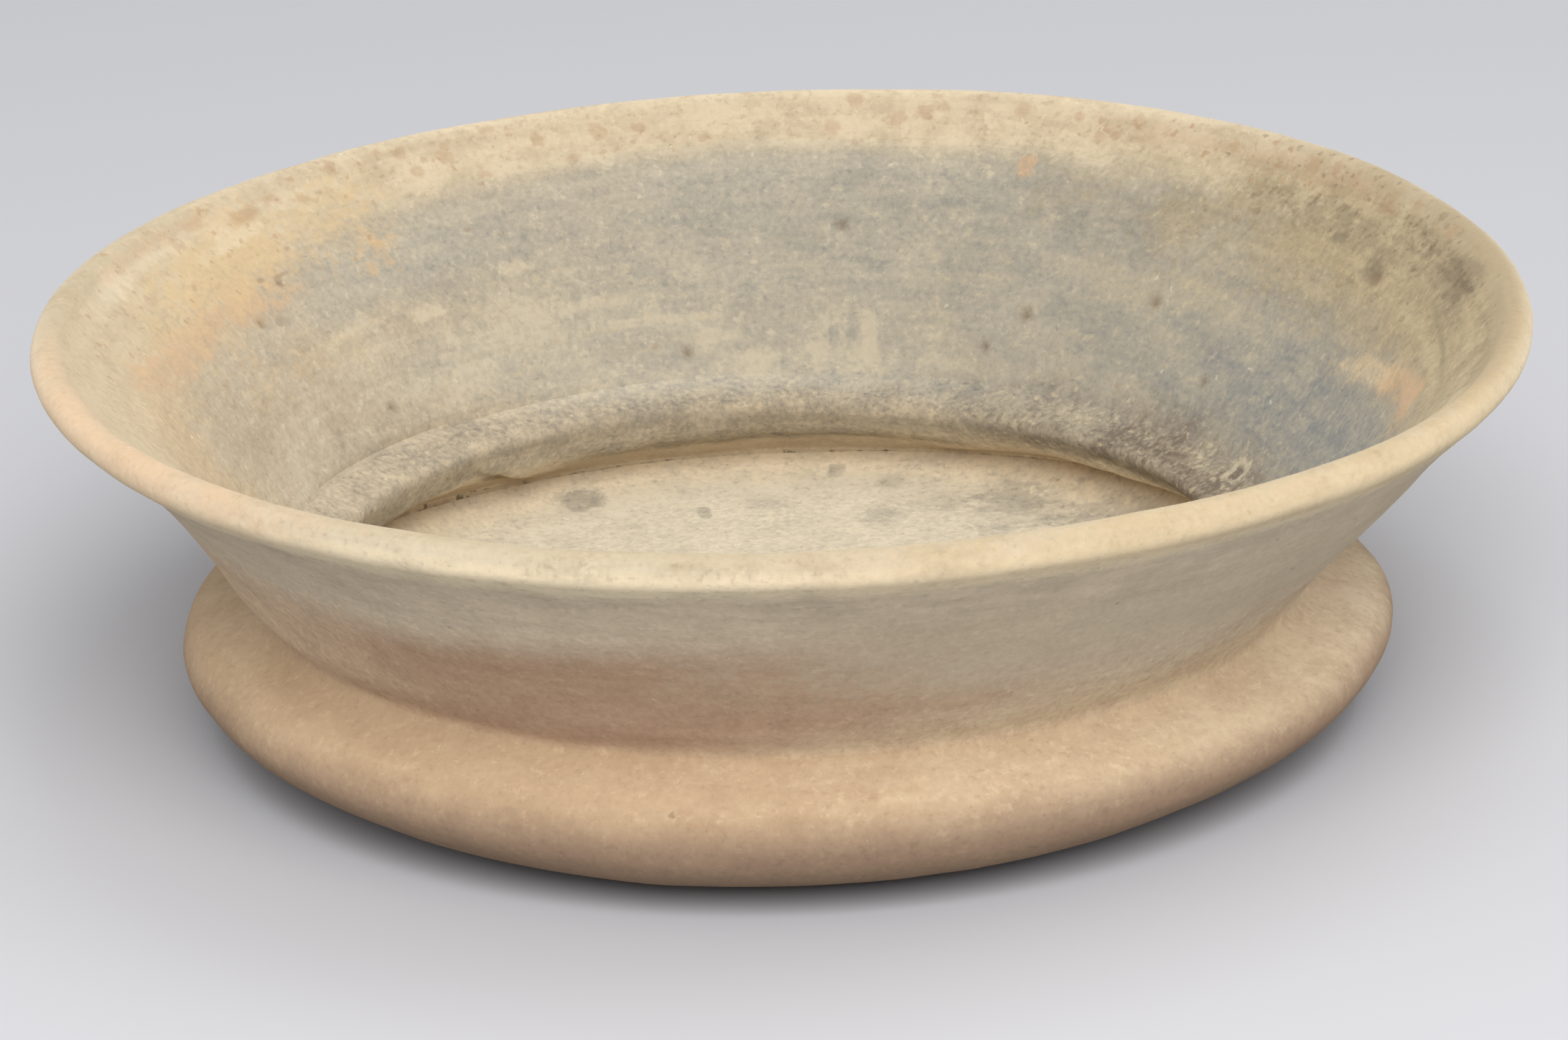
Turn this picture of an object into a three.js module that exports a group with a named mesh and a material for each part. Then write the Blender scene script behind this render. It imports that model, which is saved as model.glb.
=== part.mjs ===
// Carinated bowl of unglazed fired clay, built up from a slab, rings and coils that are luted together.
// Millimetres, +Z up. The origin is the middle of the flat face that the bowl rests on.
import * as THREE from 'three';

// Driving sizes of the whole bowl
const rimRadius = 86.2;
const bowlHeight = 48.6;
const wallThickness = 4;
const lipSwell = 0.4;

// Base slab and floor
const footRadius = 46;
const floorThickness = 4.4;
const slabBevel = 4;

// Neck crease, and the shoulder: how far its widest line stands out from the crease, how high that line
// is and how far the top rises from it to the crease, and how the shoulder turns under to the foot
const neckRadius = 63;
const shoulderOverhang = 7.4;
const shoulderHeight = 10;
const shoulderRise = 6.4;
const edgeDrop = 6.6;
const undersideRun = 13;
const shoulderRoundness = 0.55;

// Crease inside the shoulder, measured in from the widest line and up from the floor
const creaseInset = 7.4;
const creaseRise = 2.3;

// Roll that the neck coil makes inside the bowl
const neckDepth = 8;
const rollRadius = 3.6;
const rollDrop = 2.6;
const rollTopAngle = 115;
const rollUnderAngle = 237;

// Lean of the flaring wall from upright, in degrees, where it starts and where it meets the lip
const leanAtNeck = 29;
const leanAtLip = 46;

// Joints across the wall, on its inside: the lower band's rise above the neck crease, the rim coil's
// depth below the rim, and the overlap of each bevel
const lowerBandRise = 9.1;
const rimCoilDepth = 5.6;
const scarfOverlap = 3;

// Fineness of the facets
const turns = 72;
const wallSteps = 4;
const lipSteps = 9;
const shoulderSteps = 5;
const undersideSteps = 6;
const rollSteps = 6;
const floorSteps = 3;

// How many times a range is halved to find a height on a curve
const halvings = 40;

const at = (radius, height) => new THREE.Vector2(radius, height);
const polar = (centre, radius, degrees) => {
  const angle = THREE.MathUtils.degToRad(degrees);
  return at(centre.x + radius * Math.cos(angle), centre.y + radius * Math.sin(angle));
};
const lean = (degrees) => {
  const angle = THREE.MathUtils.degToRad(degrees);
  return at(Math.sin(angle), Math.cos(angle));
};

// Points along a curve between two of its fractions, both ends included
function stretch(curve, from, to, steps) {
  const points = [];
  for (let i = 0; i <= steps; i += 1) {
    points.push(curve.getPoint(from + (to - from) * i / steps));
  }
  return points;
}

// Points along a round arc, both ends included
function arc(centre, radius, fromDegrees, toDegrees, steps) {
  const points = [];
  for (let i = 0; i <= steps; i += 1) {
    points.push(polar(centre, radius, fromDegrees + (toDegrees - fromDegrees) * i / steps));
  }
  return points;
}

// Sizes that follow from the ones above
const shoulderRadius = neckRadius + shoulderOverhang;
const neckHeight = shoulderHeight + shoulderRise;
const lowerBandTop = neckHeight + lowerBandRise;
const upperBandTop = bowlHeight - rimCoilDepth;

// Corners of the section
const neckCrease = at(neckRadius, neckHeight);
const shoulderEdge = at(shoulderRadius, shoulderHeight);
const footEdge = at(footRadius, 0);
const slabEdge = at(footRadius + slabBevel, floorThickness);
const innerCrease = at(shoulderRadius - creaseInset, floorThickness + creaseRise);

// Shoulder top, from the neck crease out to the widest line
const shoulderTop = new THREE.CubicBezierCurve(
  neckCrease,
  at(neckRadius + shoulderRoundness * shoulderOverhang, neckHeight),
  at(shoulderRadius, shoulderHeight + shoulderRoundness * shoulderRise),
  shoulderEdge,
);

// Underside, from the widest line down and in to the foot
const underside = new THREE.CubicBezierCurve(
  shoulderEdge,
  at(shoulderRadius, shoulderHeight - edgeDrop),
  at(footRadius + undersideRun, 0),
  footEdge,
);

// Rising edge of the floor, from the slab to the crease
const floorRise = new THREE.QuadraticBezierCurve(
  slabEdge,
  at((slabEdge.x + innerCrease.x) / 2, floorThickness),
  innerCrease,
);

// Lip, a round edge a little thicker than the wall
const lipRadius = (wallThickness + lipSwell) / 2;
const lipCentre = at(rimRadius - lipRadius, bowlHeight - lipRadius);
const lipFoot = polar(lipCentre, lipRadius, -leanAtLip);

// Outer face of the flaring wall, from the neck crease to the lip
const flareHandle = neckCrease.distanceTo(lipFoot) / 3;
const outerWall = new THREE.CubicBezierCurve(
  neckCrease,
  neckCrease.clone().addScaledVector(lean(leanAtNeck), flareHandle),
  lipFoot.clone().addScaledVector(lean(leanAtLip), -flareHandle),
  lipFoot,
);

// Inner face of the flaring wall, one wall thickness in from the outer face
class InnerFace extends THREE.Curve {
  getPoint(fraction) {
    const along = outerWall.getTangent(fraction);
    const inward = at(-along.y, along.x);
    return outerWall.getPoint(fraction).addScaledVector(inward, wallThickness);
  }
}
const innerWall = new InnerFace();

// Fraction of a rising curve at which it reaches a height
function fractionAtHeight(curve, height) {
  let low = 0;
  let high = 1;
  for (let i = 0; i < halvings; i += 1) {
    const middle = (low + high) / 2;
    if (curve.getPoint(middle).y < height) {
      low = middle;
    } else {
      high = middle;
    }
  }
  return (low + high) / 2;
}

// A bevelled joint across the wall: it starts inside at a height and falls outwards by the overlap
function bevel(height) {
  const inside = fractionAtHeight(innerWall, height);
  const fall = scarfOverlap / outerWall.getLength();
  return { inside, outside: inside - fall };
}

const groove = innerWall.getPoint(0);
const neckJoint = { inside: 0, outside: 0 };
const bandJoint = bevel(lowerBandTop);
const rimJoint = bevel(upperBandTop);

// Roll of the neck coil, its innermost line a neck depth in from the neck crease
const rollCentre = at(neckRadius - neckDepth + rollRadius, neckHeight - rollDrop);
const rollFace = arc(rollCentre, rollRadius, rollTopAngle, rollUnderAngle, rollSteps);

// Closed sections, each run round its clay counterclockwise with radius to the right and height up
const discSection = [
  at(0, 0),
  footEdge,
  slabEdge,
  at(0, floorThickness),
];

const lowerBodySection = [
  ...stretch(underside, 1, 0, undersideSteps),
  ...stretch(floorRise, 1, 0, floorSteps),
];

const shoulderSection = [
  ...stretch(shoulderTop, 1, 0, shoulderSteps),
  innerCrease,
];

const neckSection = [
  innerCrease,
  neckCrease,
  groove,
  ...rollFace,
];

function bandSection(lower, upper) {
  return [
    ...stretch(outerWall, lower.outside, upper.outside, wallSteps),
    ...stretch(innerWall, upper.inside, lower.inside, wallSteps),
  ];
}

const rimSection = [
  ...stretch(outerWall, rimJoint.outside, 1, wallSteps).slice(0, -1),
  ...arc(lipCentre, lipRadius, -leanAtLip, 180 - leanAtLip, lipSteps),
  innerWall.getPoint(rimJoint.inside),
];

// Turns a section round the bowl's axis into one closed piece of clay
function turned(name, section, colour) {
  const profile = section.map((point) => point.clone());
  const reachesAxis = profile[0].x === 0;
  if (!reachesAxis) {
    profile.push(profile[0].clone());
  }
  const geometry = new THREE.LatheGeometry(profile, turns);
  geometry.rotateX(Math.PI / 2);
  const clay = new THREE.MeshStandardMaterial({ color: colour, roughness: 0.93, metalness: 0 });
  const mesh = new THREE.Mesh(geometry, clay);
  mesh.name = name;
  return mesh;
}

const bowl = new THREE.Group();
bowl.add(
  turned('base_disc', discSection, 0xd8c6a0),
  turned('lower_body_ring', lowerBodySection, 0xa98a6c),
  turned('shoulder_coil', shoulderSection, 0xd4b586),
  turned('neck_coil', neckSection, 0x9a8264),
  turned('lower_wall_band', bandSection(neckJoint, bandJoint), 0xa89c82),
  turned('upper_wall_band', bandSection(bandJoint, rimJoint), 0xb4a98e),
  turned('rim_coil', rimSection, 0xe0cca2),
);

export default bowl;
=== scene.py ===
import functools
import math

import bpy
import numpy as np
from mathutils import Matrix, Vector


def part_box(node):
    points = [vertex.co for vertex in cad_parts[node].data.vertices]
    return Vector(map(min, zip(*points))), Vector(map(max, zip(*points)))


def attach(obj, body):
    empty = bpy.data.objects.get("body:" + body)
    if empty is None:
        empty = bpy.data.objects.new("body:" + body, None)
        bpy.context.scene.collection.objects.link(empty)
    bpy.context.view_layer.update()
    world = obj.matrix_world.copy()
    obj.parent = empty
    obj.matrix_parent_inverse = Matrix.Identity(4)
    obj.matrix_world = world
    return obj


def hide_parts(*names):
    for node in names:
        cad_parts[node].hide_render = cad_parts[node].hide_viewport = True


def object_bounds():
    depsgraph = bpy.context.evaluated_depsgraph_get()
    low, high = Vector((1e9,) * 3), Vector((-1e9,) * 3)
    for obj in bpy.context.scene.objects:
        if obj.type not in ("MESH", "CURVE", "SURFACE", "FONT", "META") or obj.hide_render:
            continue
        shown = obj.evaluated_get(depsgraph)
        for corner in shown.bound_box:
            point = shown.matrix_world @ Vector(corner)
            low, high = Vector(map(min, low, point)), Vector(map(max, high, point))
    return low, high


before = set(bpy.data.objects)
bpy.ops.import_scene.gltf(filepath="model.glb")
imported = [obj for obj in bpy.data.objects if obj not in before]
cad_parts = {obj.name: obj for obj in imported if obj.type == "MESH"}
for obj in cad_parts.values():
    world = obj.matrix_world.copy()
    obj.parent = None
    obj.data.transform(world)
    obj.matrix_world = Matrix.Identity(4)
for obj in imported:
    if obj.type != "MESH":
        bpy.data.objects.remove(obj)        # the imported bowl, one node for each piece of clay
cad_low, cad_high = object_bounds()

MM = 0.001

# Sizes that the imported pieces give, in metres
RIM_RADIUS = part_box("rim_coil")[1].x
BOWL_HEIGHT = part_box("rim_coil")[1].z
RIM_COIL_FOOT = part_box("upper_wall_band")[1].z
LOWER_BAND_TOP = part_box("lower_wall_band")[1].z
NECK_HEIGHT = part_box("lower_wall_band")[0].z
NECK_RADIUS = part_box("neck_coil")[1].x
SHOULDER_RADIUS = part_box("shoulder_coil")[1].x
SHOULDER_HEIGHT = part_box("lower_body_ring")[1].z
CREASE_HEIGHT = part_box("shoulder_coil")[0].z
SLAB_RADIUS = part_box("base_disc")[1].x
FLOOR_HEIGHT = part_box("base_disc")[1].z

# Sizes of the clay that the boxes don't give
WALL = 4 * MM
LIP_SWELL = 0.4 * MM
SLAB_BEVEL = 4 * MM
EDGE_DROP = 6.6 * MM
UNDERSIDE_RUN = 13 * MM
SHOULDER_ROUNDNESS = 0.55
CREASE_INSET = 7.4 * MM
NECK_DEPTH = 8 * MM
ROLL_RADIUS = 3.6 * MM
ROLL_DROP = 2.6 * MM
ROLL_TOP_ANGLE = 115
ROLL_UNDER_ANGLE = 237
LEAN_AT_NECK = 29
LEAN_AT_LIP = 46
SCARF_OVERLAP = 3 * MM

# Height at which the wall bends out to the rim, inside
RIM_BEND_HEIGHT = 40 * MM

# Fineness of the skin, and of the curves that sizes are read from
TURNS = 720
FINE = 0.4 * MM
EVEN = 0.62 * MM
COARSE = 1.6 * MM
LENGTH_STEPS = 200
HEIGHT_STEPS = 2000
TANGENT_REACH = 1e-4

# Corners of the section that are rounded off: rows softened each side of it, and passes
SOFT_CORNERS = {"shoulder_top": (7, 14), "lower_wall_inside": (9, 10), "under_roll": (5, 12)}


# The true section of the bowl, as (radius, height)

def bezier(corners, shares):
    """Points of a Bezier curve at these shares of its run."""
    corners = np.array(corners, float)
    degree = len(corners) - 1
    t = np.atleast_1d(shares)[:, None]
    weights = [math.comb(degree, i) * t**i * (1 - t) ** (degree - i) for i in range(degree + 1)]
    return sum(weight * corner for weight, corner in zip(weights, corners))


def curve(spacing, *corners):
    """A Bezier curve's points, about a spacing apart."""
    length = length_along(np.array(corners, float))[-1]
    return bezier(corners, np.linspace(0, 1, max(2, round(length / spacing) + 1)))


def arc(spacing, centre, radius, from_degrees, to_degrees):
    """A round arc's points, about a spacing apart."""
    angles = np.radians([from_degrees, to_degrees])
    steps = round(abs(angles[1] - angles[0]) * radius / spacing)
    angles = np.linspace(*angles, steps + 1)[:, None]
    return np.array(centre) + radius * np.hstack([np.cos(angles), np.sin(angles)])


def length_along(points):
    """How far along a run of points each of them lies."""
    return np.concatenate([[0], np.cumsum(np.linalg.norm(np.diff(points, axis=0), axis=1))])


def lean(degrees):
    """The direction of a wall that leans out so far from upright."""
    return np.array([math.sin(math.radians(degrees)), math.cos(math.radians(degrees))])


def bowl_section():
    """Stretches of the skin, from the middle of the floor over the lip to the middle of the foot."""
    neck_crease = np.array([NECK_RADIUS, NECK_HEIGHT])
    shoulder_edge = np.array([SHOULDER_RADIUS, SHOULDER_HEIGHT])
    foot_edge = np.array([SLAB_RADIUS - SLAB_BEVEL, 0])
    slab_edge = np.array([SLAB_RADIUS, FLOOR_HEIGHT])
    inner_crease = np.array([SHOULDER_RADIUS - CREASE_INSET, CREASE_HEIGHT])
    lip_radius = (WALL + LIP_SWELL) / 2
    lip_centre = np.array([RIM_RADIUS - lip_radius, BOWL_HEIGHT - lip_radius])
    lip_foot = arc(lip_radius, lip_centre, lip_radius, -LEAN_AT_LIP, 0)[0]
    roll_centre = np.array([NECK_RADIUS - NECK_DEPTH + ROLL_RADIUS, NECK_HEIGHT - ROLL_DROP])

    handle = np.linalg.norm(lip_foot - neck_crease) / 3
    flare = [
        neck_crease,
        neck_crease + handle * lean(LEAN_AT_NECK),
        lip_foot - handle * lean(LEAN_AT_LIP),
        lip_foot,
    ]
    flare_length = length_along(bezier(flare, np.linspace(0, 1, LENGTH_STEPS)))[-1]

    def wall_face(shares, thickness):
        ahead = bezier(flare, shares + TANGENT_REACH) - bezier(flare, shares - TANGENT_REACH)
        ahead /= np.linalg.norm(ahead, axis=1)[:, None]
        return bezier(flare, shares) + thickness * np.stack([-ahead[:, 1], ahead[:, 0]], 1)

    def share_inside(height):
        shares = np.linspace(0, 1, HEIGHT_STEPS)
        return np.interp(height, wall_face(shares, WALL)[:, 1], shares)

    def wall_stretch(start, end, thickness_start, thickness_end):
        steps = round(abs(end - start) * flare_length / EVEN)
        ease = np.linspace(0, 1, steps + 1)
        thickness = thickness_start + (thickness_end - thickness_start) * ease**2
        return wall_face(start + (end - start) * ease, thickness[:, None])

    band_joint = share_inside(LOWER_BAND_TOP)
    rim_joint = share_inside(RIM_COIL_FOOT)
    fall = SCARF_OVERLAP / flare_length
    groove = wall_face(np.zeros(1), WALL)[0]
    roll = arc(FINE, roll_centre, ROLL_RADIUS, ROLL_UNDER_ANGLE, ROLL_TOP_ANGLE)
    rise_middle = ((slab_edge[0] + inner_crease[0]) / 2, FLOOR_HEIGHT)
    top_lean = SHOULDER_ROUNDNESS * (SHOULDER_RADIUS - NECK_RADIUS)
    side_lean = SHOULDER_ROUNDNESS * (NECK_HEIGHT - SHOULDER_HEIGHT)

    return {
        "floor": curve(EVEN, (0, FLOOR_HEIGHT), slab_edge),
        "floor_rise": curve(EVEN, slab_edge, rise_middle, inner_crease),
        "under_roll": curve(FINE, inner_crease, roll[0]),
        "roll": roll,
        "roll_top": curve(FINE, roll[-1], groove),
        "lower_wall_inside": wall_stretch(0, band_joint, WALL, WALL),
        "upper_wall_inside": wall_stretch(band_joint, rim_joint, WALL, WALL),
        "rim_inside": wall_stretch(rim_joint, 1, WALL, 2 * lip_radius),
        "lip": arc(FINE, lip_centre, lip_radius, 180 - LEAN_AT_LIP, -LEAN_AT_LIP),
        "rim_outside": wall_stretch(1, rim_joint - fall, 0, 0),
        "upper_wall_outside": wall_stretch(rim_joint - fall, band_joint - fall, 0, 0),
        "lower_wall_outside": wall_stretch(band_joint - fall, 0, 0, 0),
        "shoulder_top": curve(
            EVEN, neck_crease, neck_crease + [top_lean, 0], shoulder_edge + [0, side_lean], shoulder_edge
        ),
        "underside": curve(
            EVEN, shoulder_edge, shoulder_edge - [0, EDGE_DROP], foot_edge + [UNDERSIDE_RUN, 0], foot_edge
        ),
        "foot": curve(COARSE, foot_edge, (0, 0)),
    }


def join_stretches(stretches):
    """One run of points, and where each stretch starts and ends in it."""
    points = [next(iter(stretches.values()))[:1]]
    ends = {}
    count = 1
    for name, stretch in stretches.items():
        added = len(stretch) - 1
        points.append(stretch[1:])
        ends[name] = (count - 1, count - 1 + added)
        count += added
    return np.concatenate(points), ends


def softened(section, row, reach, passes):
    """The section with a corner rounded off over so many rows each side of it."""
    section = section.copy()
    for _ in range(passes):
        bend = section[row - reach - 1 : row + reach + 2]
        section[row - reach : row + reach + 1] = (bend[:-2] + 2 * bend[1:-1] + bend[2:]) / 4
    return section


SECTION, ENDS = join_stretches(bowl_section())
for corner, (soft_reach, soft_passes) in SOFT_CORNERS.items():
    SECTION = softened(SECTION, ENDS[corner][0], soft_reach, soft_passes)
ALONG = length_along(SECTION)
AROUND = np.linspace(0, 360, TURNS, endpoint=False)[None, :]


def line_at(name):
    """How far along the section a stretch starts, in millimetres."""
    return float(ALONG[ENDS[name][0]]) / MM


# Lines round the bowl that the marks are placed by, in millimetres along the section
CREASE_LINE = line_at("under_roll")
ROLL_LINE = line_at("roll")
GROOVE_LINE = line_at("lower_wall_inside")
BAND_LINE = line_at("upper_wall_inside")
LIP_LINE = line_at("lip")
LIP_EDGE = line_at("rim_outside")
NECK_LINE = line_at("shoulder_top")
SHOULDER_LINE = line_at("underside")
FOOT_LINE = line_at("foot")


# How the hand-made bowl departs from the true section

def smooth(start, end, value):
    """0 before start, 1 after end, and an even change between."""
    share = np.clip((value - start) / (end - start), 0, 1)
    return share * share * (3 - 2 * share)


def hump(middle, reach, value):
    """1 at the middle, falling off to nothing within about two reaches."""
    return np.exp(-(((value - middle) / reach) ** 2))


def turn_between(around, place):
    """Degrees from a place round the bowl, from -180 to 180."""
    return (around - place + 180) % 360 - 180


def near(around, place, reach):
    """1 at a place round the bowl, falling off to nothing within about two reaches of degrees."""
    return hump(0, reach, turn_between(around, place))


def sideways(around):
    """1 at the bowl's left and right, and 0 at its front and back."""
    return smooth(0.2, 0.85, np.abs(np.cos(np.radians(around))))


LATTICE_SIDE = 64


def lattice_noise(places, size, seed):
    """Even random values from -1 to 1 at places, with lumps about a size across."""
    lattice = np.random.default_rng(seed).uniform(-1, 1, (LATTICE_SIDE,) * 3)
    scaled = places / size
    cell = np.floor(scaled).astype(int)
    part = scaled - cell
    part = part * part * (3 - 2 * part)
    total = np.zeros(places.shape[:-1])
    for corner in np.ndindex(2, 2, 2):
        reach = np.prod(np.where(corner, part, 1 - part), axis=-1)
        x, y, z = np.moveaxis((cell + corner) % LATTICE_SIDE, -1, 0)
        total += reach * lattice[x, y, z]
    return total


def lumpy(places, layers):
    """Sum of layers of lumps, each (millimetres across, millimetres high, seed)."""
    return sum(height * lattice_noise(places, size * MM, seed) for size, height, seed in layers)


# Bulges of the rim that press its circle out or in: place in degrees, reach in degrees, and millimetres
RIM_BULGES = (
    (-36, 24, 1.8),
    (52, 24, 1.5),
    (118, 26, -0.9),
    (200, 20, -0.35),
)


# How far uneven places stand out, in millimetres, with a minus sign where they are pressed in
BELLY_LEAN, BELLY_HOLLOW = 1.0, -0.4
BEND_ALL_ROUND, BEND_AT_SIDES = -0.6, -0.4
NECK_LEAN, NECK_PRESS = -0.35, -1.2
NOTCH_AT_SIDES = -0.9
WAIST_AT_RIGHT = -1.1
SHOULDER_SWELL = 0.45
TUCK_AT_SIDES = -1.15
LOW_FRONT = 0.7

# How far the neck rises at the right, and the shoulder's top at both sides, in millimetres, with a minus
# sign because they sink
NECK_TIP = -0.77
SHOULDER_SINK = -0.7

# How far the floor's crease rises, in millimetres: all round, more at the sides than at the back,
# and at two places, each (place in degrees, reach in degrees, millimetres)
CREASE_RISE, CREASE_OVAL = 0.45, 0.85
CREASE_HUMPS = (
    (152, 20, 0.8),
    (35, 29, 1.9),
)


def out_of_round(radius, height, around):
    """Radius and height once the wall, rim, neck and shoulder are as uneven as hands left them."""
    rightward = np.cos(np.radians(around))
    flare = smooth(NECK_HEIGHT, BOWL_HEIGHT, height)
    belly = 4 * flare * (1 - flare)
    neck = hump(NECK_HEIGHT, 3.4 * MM, height)
    shoulder = hump(SHOULDER_HEIGHT, 6 * MM, height)
    front = np.clip(-np.sin(np.radians(around)), 0, 1) ** 2
    right = np.clip(rightward, 0, 1) ** 2
    side = sideways(around)
    low = hump(3 * MM, 4 * MM, height) * smooth(0, 1 * MM, height)
    tucked = hump(3.8 * MM, 3.2 * MM, height) * smooth(0.4 * MM, 2.5 * MM, height)
    notch = hump(NECK_HEIGHT - 0.4 * MM, 2.2 * MM, height)
    waist = hump(NECK_HEIGHT + 5 * MM, 6.5 * MM, height)
    bend = hump(RIM_BEND_HEIGHT, 6 * MM, height)
    rim = sum(size * near(around, place, reach) for place, reach, size in RIM_BULGES)
    outward = MM * (
        flare * rim
        + belly * (BELLY_LEAN * rightward + BELLY_HOLLOW)
        + bend * (BEND_ALL_ROUND + BEND_AT_SIDES * side)
        + neck * (NECK_LEAN * rightward + NECK_PRESS)
        + notch * side * NOTCH_AT_SIDES
        + waist * right * WAIST_AT_RIGHT
        + shoulder * SHOULDER_SWELL
        + tucked * side * TUCK_AT_SIDES
        + low * front * LOW_FRONT
    )
    upward = MM * neck * NECK_TIP * rightward
    return radius + outward, height + upward


def uneven_crease(around, along):
    """How much the floor's crease rises to the sides and sinks to the back, in metres."""
    rise = CREASE_RISE + CREASE_OVAL * np.cos(np.radians(2 * around))
    rise = rise + sum(size * near(around, place, reach) for place, reach, size in CREASE_HUMPS)
    return MM * rise * hump(CREASE_LINE + 0.5, 3.6, along)


def sunken_shoulder(around, along):
    """How much the shoulder's top lies lower at the sides, in metres."""
    return MM * SHOULDER_SINK * sideways(around) * hump(NECK_LINE + 3, 3.8, along)


# Layers of lumps: millimetres across, millimetres high, and seed
BODY_LUMPS = ((13, 0.22, 1), (5, 0.055, 2), (1.9, 0.016, 3), (0.95, 0.014, 4))
TURNING_RIDGES = ((3.2, 0.07, 5), (1.5, 0.03, 6))
LIP_LUMPS = ((9, 0.35, 7),)
ROLL_LUMPS = ((7, 0.34, 8), (2.6, 0.16, 9))

# Radius in metres that turning ridges are spread over, so that each runs far round the bowl
RIDGE_SPREAD = 0.012

# Share of the turning ridges on floor and roll, and how much more of them the wall has
RIDGES_LOW, RIDGES_ON_WALL = 0.35, 0.65

# Share of all relief that the bowl has everywhere, and how much more the inside and the wall's outside have
RELIEF_EVERYWHERE, RELIEF_INSIDE, RELIEF_ON_OUTER_WALL = 0.55, 0.45, 0.25

# Depth of a pit, in millimetres
PIT_DEPTH = 0.4

# Lines and swellings that run round the bowl: millimetres high, or deep with a minus sign, line along the
# section, how far that wanders, reach, share of it all round, and more of it at places, each (place in
# degrees, reach in degrees, share)
RUNS = (
    # crisp upper edge of the roll, and the clay pressed in under it
    (0.2, ROLL_LINE + 5.4, 0.6, 1.4, 1, ()),
    (0.4, CREASE_LINE + 4, 0, 3, 0, ((28, 28, 1),)),
    # bend of the rim inside, and flats of the shoulder behind its sides
    (-0.3, LIP_LINE - 9.6, 0, 1.3, 0, ((188, 30, 1), (-2, 20, 1))),
    (-1, SHOULDER_LINE - 2, 0, 6, 0, ((24, 20, 1.7), (153, 18, 1.3))),
    # line scored above the roll, and the faint one where the upper band starts
    (-1, GROOVE_LINE, 0.5, 0.55, 0.12, ((142, 26, 0.75),)),
    (-0.14, BAND_LINE - 1, 1.2, 0.55, 0, ((118, 38, 1),)),
)


def surface_relief(places, around, along):
    """Height of the skin over the smooth shape, in metres, with along in millimetres."""
    inside = 1 - smooth(LIP_LINE - 2, LIP_LINE + 4, along)
    outside = 1 - inside
    turning = np.stack(np.broadcast_arrays(
        RIDGE_SPREAD * np.cos(np.radians(around)),
        RIDGE_SPREAD * np.sin(np.radians(around)),
        along * MM,
    ), -1)
    wall = smooth(GROOVE_LINE, GROOVE_LINE + 4, along)
    ridged = (RIDGES_LOW + RIDGES_ON_WALL * wall) * smooth(CREASE_LINE, ROLL_LINE, along)
    relief = lumpy(places, BODY_LUMPS) + lumpy(turning, TURNING_RIDGES) * ridged

    relief += uneven_roll(places, along) + runs_round(around, along)
    relief += lapped_coil_end(around, along)
    relief += finger_dents(around, along)
    relief -= PIT_DEPTH * pitted(around, along)
    relief += lumpy(turning, LIP_LUMPS) * hump(LIP_LINE + 3, 5, along)
    relief *= RELIEF_EVERYWHERE + RELIEF_INSIDE * inside + RELIEF_ON_OUTER_WALL * outside * wall
    return relief * MM


def runs_round(around, along):
    """Height of the lines and swellings that run round the bowl, in millimetres."""
    angle = np.radians(around)
    wander = 0.6 * np.sin(3 * angle + 0.4) + 0.4 * np.sin(7 * angle + 2.1)
    relief = 0
    for height, line, stray, reach, all_round, places in RUNS:
        share = all_round + sum(size * near(around, *place) for *place, size in places)
        relief = relief + height * share * hump(line + stray * wander, reach, along)
    return relief


def uneven_roll(places, along):
    """Lumps and dents of the roll and of the clay pressed in under it."""
    over_crease = smooth(CREASE_LINE, ROLL_LINE - 3, along)
    past_groove = smooth(GROOVE_LINE - 4, GROOVE_LINE + 1, along)
    return over_crease * (1 - past_groove) * lumpy(places, ROLL_LUMPS)


# The neck coil's lap: place in degrees, degrees it slants by in a millimetre, how fast the fold rises
# and falls in degrees, and millimetres of its height and of the notch under it
LAP_PLACE, LAP_SLANT = 129, 1.4
FOLD_RISE, FOLD_FALL = 11, 0.5
FOLD_HEIGHT, NOTCH_DEPTH = 0.95, 1.3
LAP_REACH = 60


def lapped_coil_end(around, along):
    """Step where the neck coil's end is folded over its start, with the notch under the fold."""
    away = turn_between(around, LAP_PLACE) - LAP_SLANT * (along - ROLL_LINE)
    rise = np.exp(np.clip(away, -LAP_REACH, 0) / FOLD_RISE)
    fall = np.exp(-np.clip(away, 0, LAP_REACH) / FOLD_FALL)
    fold = np.where(away < 0, rise, fall) * hump(ROLL_LINE - 1, 4.5, along)
    notch = hump(0, 1.1, away + 0.4) * hump(ROLL_LINE - 1, 2.4, along)
    return FOLD_HEIGHT * fold - NOTCH_DEPTH * notch


# Finger dents of the shoulder: places in degrees, reach in degrees, slant and depth
DENT_PLACES = range(188, 236, 6)
DENT_REACH, DENT_SLANT, DENT_DEPTH = 1.9, 0.5, 0.16


def finger_dents(around, along):
    """Shallow presses left by fingers on the top of the shoulder, at its left."""
    up = along - NECK_LINE
    dents = np.zeros(np.broadcast(around, along).shape)
    for place in DENT_PLACES:
        aside = turn_between(around, place) + DENT_SLANT * (up - 5)
        dents -= DENT_DEPTH * hump(0, DENT_REACH, aside) * hump(4.5, 3.2, up)
    return dents


# Radius of the inside wall where the pits are, in millimetres
WALL_TURN = 66

# Small pits of the inside: place round the bowl in degrees, millimetres above the groove, and width
PITS = (
    (61, 8.8, 0.8),
    (65, 4.2, 0.6),
    (46, 13.5, 0.8),
    (18, 27.0, 1.1),
    (141, 5.0, 0.7),
    (101, 3.2, 0.7),
    (153, 22.0, 0.6),
    (147, 25.5, 0.6),
    (83, 19.5, 0.7),
    (34, 6.0, 0.6),
)


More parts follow.
